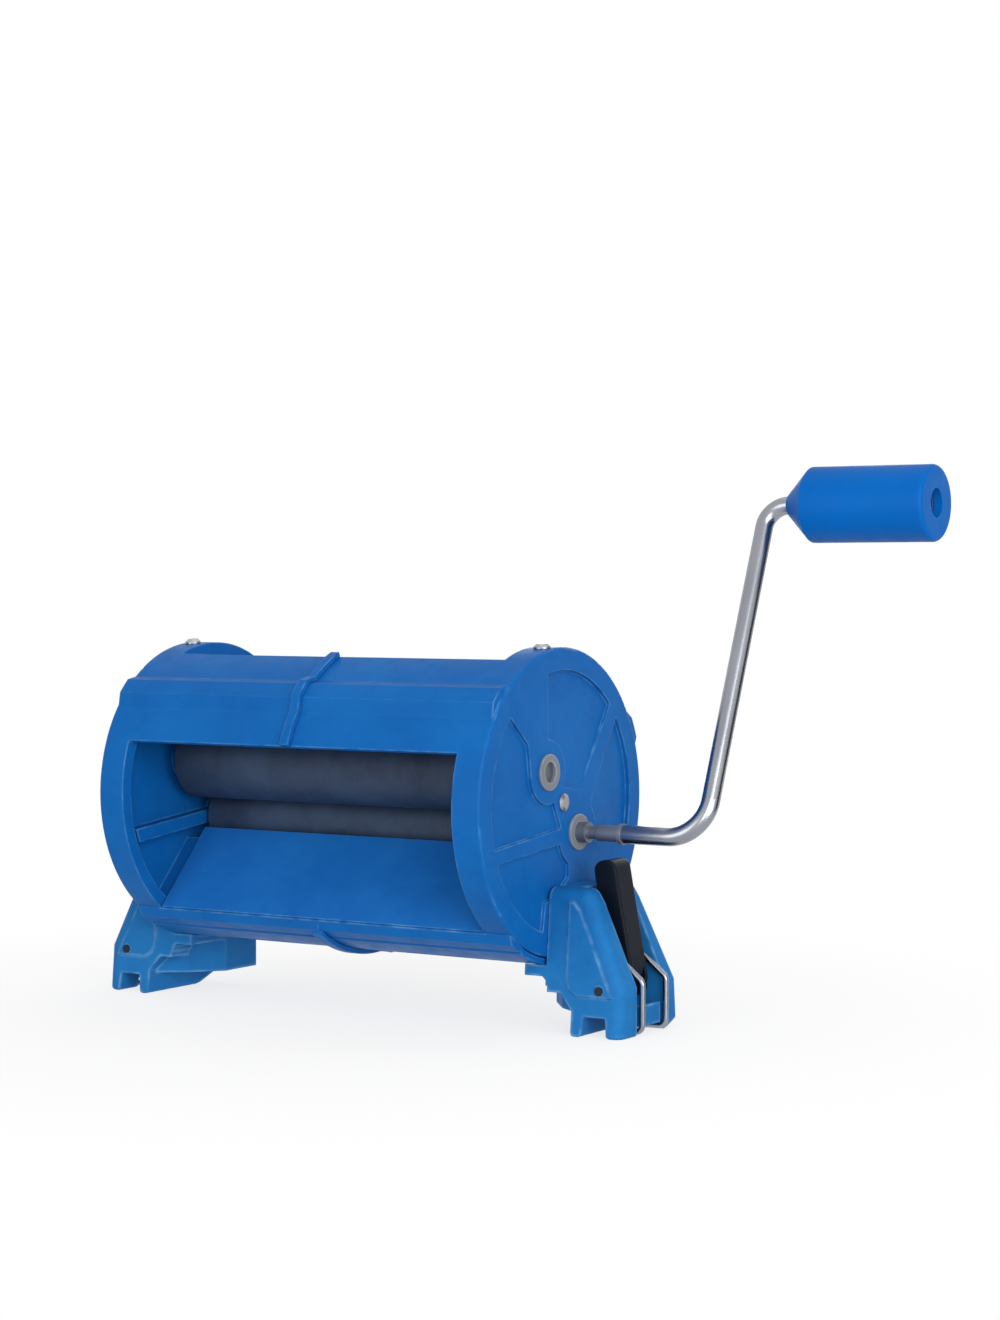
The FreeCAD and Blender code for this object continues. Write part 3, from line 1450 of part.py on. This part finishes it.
os.makedirs("parts", exist_ok=True)
for node in NODES:
    node.Shape.exportStep(f"parts/{node.Label}.step")
    box = node.Shape.BoundBox
    print(f"{node.Label}: {len(node.Shape.Solids)} solids, {node.Shape.Volume / 1000:.1f} cm3, "
          f"x {box.XMin:.1f} to {box.XMax:.1f}, y {box.YMin:.1f} to {box.YMax:.1f}, "
          f"z {box.ZMin:.1f} to {box.ZMax:.1f}")
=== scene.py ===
# %% [markdown]
# # A hand-cranked roller wringer
#
# The wringer comes from CAD with its true shape and place: a moulded blue drum on two clamp feet,
# two rubber rollers, a bent steel crank and its small hardware. This lesson gives each piece the
# surface that it has after some use. Every piece is hard and its CAD shape is already right, so the
# work is all in materials and light. Everything is in metres, in the frame of the CAD model.

# %% Load the frame
import math

import bpy
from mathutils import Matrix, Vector

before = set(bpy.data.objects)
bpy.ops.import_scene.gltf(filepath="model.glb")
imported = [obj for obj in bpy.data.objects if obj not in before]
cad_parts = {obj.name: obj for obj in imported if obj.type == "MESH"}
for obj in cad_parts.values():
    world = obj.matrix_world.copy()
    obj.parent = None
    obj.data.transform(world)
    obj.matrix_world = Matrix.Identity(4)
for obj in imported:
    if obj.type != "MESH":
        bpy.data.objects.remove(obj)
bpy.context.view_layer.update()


# %% [markdown]
# ## The camera
#
# The camera stands about two metres away, a little above the drum's axis, and sees the open front
# and the crank's end at once. A long lens keeps the far foot nearly as large as the near one.

# %% Camera
def put_camera(place, lens, tilt_down, turn):
    data = bpy.data.cameras.new("camera")
    data.lens = lens
    data.sensor_width = 36
    camera = bpy.data.objects.new("camera", data)
    camera.location = place
    camera.rotation_euler = (math.radians(90 - tilt_down), 0, math.radians(turn))
    bpy.context.scene.collection.objects.link(camera)
    bpy.context.scene.camera = camera
    return camera


camera = put_camera((1.1422, -1.6157, 0.3015), lens=76.34, tilt_down=1.5645, turn=32.596)
print("camera at", tuple(round(value, 3) for value in camera.location))


# %% [markdown]
# ## Colours and nodes
#
# Colours are picked as sRGB hex values, the way a colour chart gives them. Shaders work with linear
# light, so one function turns them round. A second function adds a node with its settings and links.

# %% Helpers for materials
def linear(hex_colour):
    parts = [int(hex_colour[start:start + 2], 16) / 255 for start in (1, 3, 5)]
    return [part / 12.92 if part <= 0.04045 else ((part + 0.055) / 1.055) ** 2.4
            for part in parts] + [1.0]


def add(tree, kind, settings=None, **links):
    """Adds a node. Settings are attributes; links and values go to inputs by name."""
    node = tree.nodes.new(f"ShaderNode{kind}")
    for name, value in (settings or {}).items():
        setattr(node, name, value)
    for name, value in links.items():
        socket = node.inputs[int(name[1:])] if name[0] == "i" and name[1:].isdigit() \
            else node.inputs[name.replace("_", " ")]
        if isinstance(value, bpy.types.NodeSocket):
            tree.links.new(value, socket)
        else:
            socket.default_value = value
    return node


def new_material(name):
    material = bpy.data.materials.new(name)
    material.use_nodes = True
    tree = material.node_tree
    tree.nodes.clear()
    output = add(tree, "OutputMaterial")
    shader = add(tree, "BsdfPrincipled")
    tree.links.new(shader.outputs["BSDF"], output.inputs["Surface"])
    place = add(tree, "TexCoord").outputs["Object"]
    return material, tree, shader, place


def ramp(tree, value, *stops):
    """A colour ramp with stops of position and hex colour."""
    node = add(tree, "ValToRGB", Fac=value)
    elements = node.color_ramp.elements
    while len(elements) < len(stops):
        elements.new(0.5)
    for element, (position, colour) in zip(elements, stops):
        element.position = position
        element.color = linear(colour)
    return node.outputs["Color"]


# Cosines between a face's own direction and the softened one: nearly flat, and fully a corner.
FLAT, CORNER = 0.985, 0.86


def edge_wear_and_highlight(tree, radius):
    """1 along corners, which are painted pale, partly as rubbed wear and partly as a painted highlight,
    and 0 on flat faces.
    """
    soft = add(tree, "Bevel", {"samples": 6}, Radius=radius).outputs["Normal"]
    true = add(tree, "NewGeometry").outputs["True Normal"]
    match = add(tree, "VectorMath", {"operation": "DOT_PRODUCT"}, i0=soft, i1=true).outputs["Value"]
    return add(tree, "MapRange", i0=match, i1=FLAT, i2=CORNER, i3=0.0, i4=1.0).outputs["Result"]


print("linear mid grey:", [round(part, 3) for part in linear("#808080")])


# %% [markdown]
# ## Moulded polypropylene
#
# The drum, the feet and the drain board are injection-moulded polypropylene, coloured right through.
# The eye sees a soft satin sheen, a faint cloudiness where the melt flowed, a fine orange-peel skin
# and paler corners, partly rubbed wear and partly a painted highlight. The same recipe, in another
# blue, serves the grip, and in near-black the levers, so it is one function.

# %% Plastic
def moulded_plastic(name, deep, light, worn_and_highlight, roughness, wear_and_highlight_radius, peel=0.35):
    material, tree, shader, place = new_material(name)
    cloud = add(tree, "TexNoise", Vector=place, Scale=14.0, Detail=9.0, Roughness=0.72).outputs["Fac"]
    colour = ramp(tree, cloud, (0.32, deep), (0.68, light))
    scuffs = add(tree, "TexNoise", Vector=place, Scale=90.0, Detail=3.0).outputs["Fac"]
    patchy = add(tree, "MapRange", i0=scuffs, i1=0.36, i2=0.62, i3=0.08, i4=0.7).outputs["Result"]
    # The pale corner colour is partly real rubbing and partly a painted highlight along every edge.
    rubbed_and_highlight = add(tree, "Math", {"operation": "MULTIPLY"}, i0=edge_wear_and_highlight(tree, wear_and_highlight_radius),
                 i1=patchy).outputs["Value"]
    mix = add(tree, "Mix", {"data_type": "RGBA"}, i0=rubbed_and_highlight, i6=colour, i7=linear(worn_and_highlight))
    tree.links.new(mix.outputs[2], shader.inputs["Base Color"])
    gloss = add(tree, "MapRange", i0=scuffs, i1=0.3, i2=0.7, i3=roughness - 0.05, i4=roughness + 0.07)
    tree.links.new(gloss.outputs["Result"], shader.inputs["Roughness"])
    # The skin's dimples are about 1.5 mm across.
    skin = add(tree, "TexNoise", Vector=place, Scale=650.0, Detail=2.0).outputs["Fac"]
    rounded = add(tree, "Bevel", {"samples": 6}, Radius=0.0012).outputs["Normal"]
    bump = add(tree, "Bump", Strength=peel, Distance=0.00005, Height=skin, Normal=rounded)
    tree.links.new(bump.outputs["Normal"], shader.inputs["Normal"])
    shader.inputs["Specular IOR Level"].default_value = 0.08
    return material


# Each row gives a name, the deep, light and pale-edge colour (rubbed wear with a painted highlight), the
# roughness and how far the pale edge reaches.
drum_plastic = moulded_plastic("polypropylene moulded blue", "#0857A0", "#1065AE", "#5D97CC", 0.42,
                               0.0022)
# The feet stand on wet tubs and are handled most, so their skin is duller and more rubbed, and their pale
# edges, rubbed wear with a painted highlight, reach wider.
foot_plastic = moulded_plastic("polypropylene moulded blue, worn", "#10609F", "#2274B4", "#7FB0DC",
                               0.5, 0.004, 0.6)
# The board is the drum's blue, painted lighter as painted light, because it sits in the drum's shaded
# inside.
board_plastic_painted_lighter = moulded_plastic("polypropylene moulded light blue", "#155FAC", "#1F6DBB", "#6AA5DA",
                                0.45, 0.0022)
grip_plastic = moulded_plastic("polypropylene moulded bright blue", "#005BAA", "#0062B6", "#3E8ED6",
                               0.46, 0.002)
lever_plastic = moulded_plastic("glass-filled nylon black", "#0C121D", "#121925", "#3A4658", 0.36,
                                0.0015, 0.5)
# The bushes and washers are acetal, a hard slippery plastic, turned from grey rod.
bush_plastic = moulded_plastic("acetal turned natural", "#6F747C", "#7F848B", "#D2D5D8", 0.45, 0.0018)
plastics = (drum_plastic, foot_plastic, board_plastic_painted_lighter, grip_plastic, lever_plastic, bush_plastic)
print("plastics:", ", ".join(plastic.name for plastic in plastics))


# %% [markdown]
# ## Ground rubber
#
# The rollers are nitrile rubber, cast round the shaft and then ground true on a lathe. That leaves a
# dull, dark slate surface with very fine rings round the roller and a faint bloom of dried soap.

# %% Rubber
def ground_rubber():
    material, tree, shader, place = new_material("nitrile rubber ground")
    bloom = add(tree, "TexNoise", Vector=place, Scale=22.0, Detail=5.0, Roughness=0.65).outputs["Fac"]
    colour = ramp(tree, bloom, (0.35, "#1F2F46"), (0.72, "#334661"))
    tree.links.new(colour, shader.inputs["Base Color"])
    # Grinding rings about 1 mm apart, drawn coarser than the real tenth of a millimetre.
    across = add(tree, "Mapping", Vector=place, Scale=(900.0, 6.0, 6.0)).outputs["Vector"]
    rings = add(tree, "TexNoise", Vector=across, Scale=1.0, Detail=2.0).outputs["Fac"]
    bump = add(tree, "Bump", Strength=0.35, Distance=0.00006, Height=rings)
    tree.links.new(bump.outputs["Normal"], shader.inputs["Normal"])
    dull = add(tree, "MapRange", i0=rings, i1=0.3, i2=0.7, i3=0.5, i4=0.62)
    tree.links.new(dull.outputs["Result"], shader.inputs["Roughness"])
    shader.inputs["Specular IOR Level"].default_value = 0.3
    return material


rubber = ground_rubber()
print("rubber:", rubber.name)


# %% [markdown]
# ## Drawn stainless steel
#
# The crank, the bail and the fasteners are stainless steel. Drawing and polishing leave a bright,
# slightly blurred shine, with broad smudges from handling and a grain too fine to see as lines. The
# shafts and the hub are plain turned steel, darker and duller, and the lever pins are blackened. A
# metal has no separate diffuse colour, so its base colour does most of the work, and one recipe with
# other greys serves them all.

# %% Steel
def drawn_steel(name, roughness, grain, dark, light):
    material, tree, shader, place = new_material(name)
    # Handling leaves broad, faint smudges; the grain is a fine change of shine.
    smudge = add(tree, "TexNoise", Vector=place, Scale=24.0, Detail=2.0).outputs["Fac"]
    tree.links.new(ramp(tree, smudge, (0.35, dark), (0.7, light)), shader.inputs["Base Color"])
    fine = add(tree, "TexNoise", Vector=place, Scale=grain, Detail=2.0).outputs["Fac"]
    blur = add(tree, "MapRange", i0=fine, i1=0.3, i2=0.7, i3=roughness - 0.02, i4=roughness + 0.03)
    tree.links.new(blur.outputs["Result"], shader.inputs["Roughness"])
    rounded = add(tree, "Bevel", {"samples": 4}, Radius=0.0004).outputs["Normal"]
    tree.links.new(rounded, shader.inputs["Normal"])
    shader.inputs["Metallic"].default_value = 1.0
    return material


bar_steel = drawn_steel("stainless steel drawn", 0.24, 700.0, "#8D9098", "#9A9DA4")
small_steel = drawn_steel("stainless steel turned", 0.3, 1200.0, "#9DA0A6", "#ABAEB3")
dull_steel = drawn_steel("steel turned dull", 0.55, 1200.0, "#767A82", "#8A8E96")
blackened_steel = drawn_steel("steel blackened", 0.5, 1200.0, "#2A2D33", "#383C43")
steels = (bar_steel, small_steel, dull_steel, blackened_steel)
print("steels:", ", ".join(steel.name for steel in steels))


# %% [markdown]
# ## Dressing the pieces
#
# Each CAD node keeps its mesh and gets its material through its slots. A table from finish to pieces
# shows at a glance what is made of what.

# %% Dress the CAD nodes
FINISHES = {
    drum_plastic: ("housing_left", "housing_right"),
    board_plastic_painted_lighter: ("drain_board",),
    foot_plastic: ("foot_left", "foot_right"),
    grip_plastic: ("grip",),
    lever_plastic: ("lever_left", "lever_right"),
    rubber: ("upper_roller", "lower_roller"),
    bar_steel: ("crank_rod", "bail_left", "bail_right"),
    small_steel: ("top_screws", "centre_screws", "foot_screws", "seam_screws", "grip_washer"),
    dull_steel: ("upper_shaft", "lower_shaft", "crank_hub", "crank_pin"),
    blackened_steel: ("lever_pins_left", "lever_pins_right"),
    bush_plastic: ("upper_bush_left", "upper_bush_right", "lower_bush_left", "lower_bush_right",
                   "thrust_washers"),
}
for material, nodes in FINISHES.items():
    for node in nodes:
        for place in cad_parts[node].material_slots:
            place.material = material
print("dressed", sum(len(nodes) for nodes in FINISHES.values()), "nodes")


# %% [markdown]
# ## The floor
#
# The floor is a sheet of pale paper that fades out round the wringer, so that only the shadow under
# the feet is left. A fade in the paper's own alpha keeps the horizon out of every view.

# %% Floor
PAPER_SIZE = 3.0
FADE_START, FADE_END, PAPER_ALPHA = 0.15, 0.6, 0.24     # radii in metres, then how solid it is


def put_floor():
    bpy.ops.object.select_all(action="DESELECT")
    bpy.ops.mesh.primitive_plane_add(size=PAPER_SIZE, location=(0, 0, 0))
    floor = bpy.context.object
    floor.name = "floor"
    material, tree, shader, place = new_material("studio floor paper")
    shader.inputs["Base Color"].default_value = linear("#FBFBFB")
    shader.inputs["Roughness"].default_value = 0.9
    shader.inputs["Specular IOR Level"].default_value = 0.0
    away = add(tree, "VectorMath", {"operation": "LENGTH"}, i0=place).outputs["Value"]
    fade = add(tree, "MapRange", {"interpolation_type": "SMOOTHSTEP"},
               i0=away, i1=FADE_START, i2=FADE_END, i3=PAPER_ALPHA, i4=0.0).outputs["Result"]
    tree.links.new(fade, shader.inputs["Alpha"])
    floor.data.materials.append(material)
    return floor


floor = put_floor()
print("floor:", tuple(floor.dimensions))


# %% [markdown]
# ## The white room
#
# The world is white for the camera, for mirrors and through glass, but lights the wringer with only
# part of that. So the background is clean white without washing the blue out.

# %% World
LIT, SEEN = 0.55, 1.0


def put_world():
    world = bpy.data.worlds.new("studio white")
    bpy.context.scene.world = world
    world.use_nodes = True
    tree = world.node_tree
    tree.nodes.clear()
    path = add(tree, "LightPath")
    seen = path.outputs["Is Camera Ray"]
    for ray in ("Is Glossy Ray", "Is Transmission Ray"):
        seen = add(tree, "Math", {"operation": "MAXIMUM"}, i0=seen, i1=path.outputs[ray]).outputs["Value"]
    lit = add(tree, "Background", Color=linear("#FFFFFF"), Strength=LIT)
    white = add(tree, "Background", Color=linear("#FFFFFF"), Strength=SEEN)
    mix = add(tree, "MixShader", i0=seen, i1=lit.outputs["Background"], i2=white.outputs["Background"])
    output = add(tree, "OutputWorld")
    tree.links.new(mix.outputs["Shader"], output.inputs["Surface"])
    return world


print("world:", put_world().name)


# %% [markdown]
# ## Dark cards for the steel
#
# Steel in an all-white room looks flat. Two dark cards stand where only reflections can see them, a
# trick of product studios, and draw the dark bands along the crank.

# %% Cards
CARD_SIZE = (0.9, 1.4)
CARDS = {"card_left": (-1.35, -0.86, 0.4), "card_right": (1.45, 0.92, 0.4)}


def put_card(name, place):
    bpy.ops.object.select_all(action="DESELECT")
    bpy.ops.mesh.primitive_plane_add(size=1, location=place)
    card = bpy.context.object
    card.name = name
    card.scale = (*CARD_SIZE, 1)
    card.rotation_euler = Vector((-place[0], -place[1], 0)).to_track_quat("Z", "Y").to_euler()
    material, tree, shader, unused = new_material(f"{name} felt")
    shader.inputs["Base Color"].default_value = linear("#2A2A2C")
    shader.inputs["Roughness"].default_value = 1.0
    card.data.materials.append(material)
    for rays in ("visible_camera", "visible_diffuse", "visible_shadow"):
        setattr(card, rays, False)


for name, place in CARDS.items():
    put_card(name, place)
print("cards:", ", ".join(CARDS))


# %% [markdown]
# ## Lamps
#
# Large area lamps give soft shadows and long, gentle highlights. The key stands to the right of the
# camera, a weaker fill to its left, and low ones at the side and back open up the shaded faces.

# %% Lamps
MIDDLE = (0.02, 0, 0.17)                  # what every lamp points at
LAMPS = {                                 # place, size of the panel, watts
    "key": ((1.9, -1.9, 0.95), (1.6, 1.6), 36),
    "fill": ((-0.5, -2.4, 0.5), (1.4, 1.4), 14),
    "side": ((2.3, -0.8, 0.3), (1.0, 1.0), 14),
    "top": ((0.2, 0.2, 2.2), (2.0, 1.6), 5),
    "back": ((-0.7, 2.5, 0.6), (1.8, 1.4), 16),
}


def put_lamp(name, place, size, power):
    data = bpy.data.lights.new(name, "AREA")
    data.shape = "RECTANGLE"
    data.size, data.size_y = size
    data.energy = power
    lamp = bpy.data.objects.new(name, data)
    lamp.location = place
    lamp.rotation_euler = (Vector(MIDDLE) - Vector(place)).to_track_quat("-Z", "Y").to_euler()
    bpy.context.scene.collection.objects.link(lamp)


for name, (place, size, power) in LAMPS.items():
    put_lamp(name, place, size, power)
bpy.context.scene.view_settings.view_transform = "Standard"
print("lamps:", ", ".join(f"{name} {row[-1]} W" for name, row in LAMPS.items()))
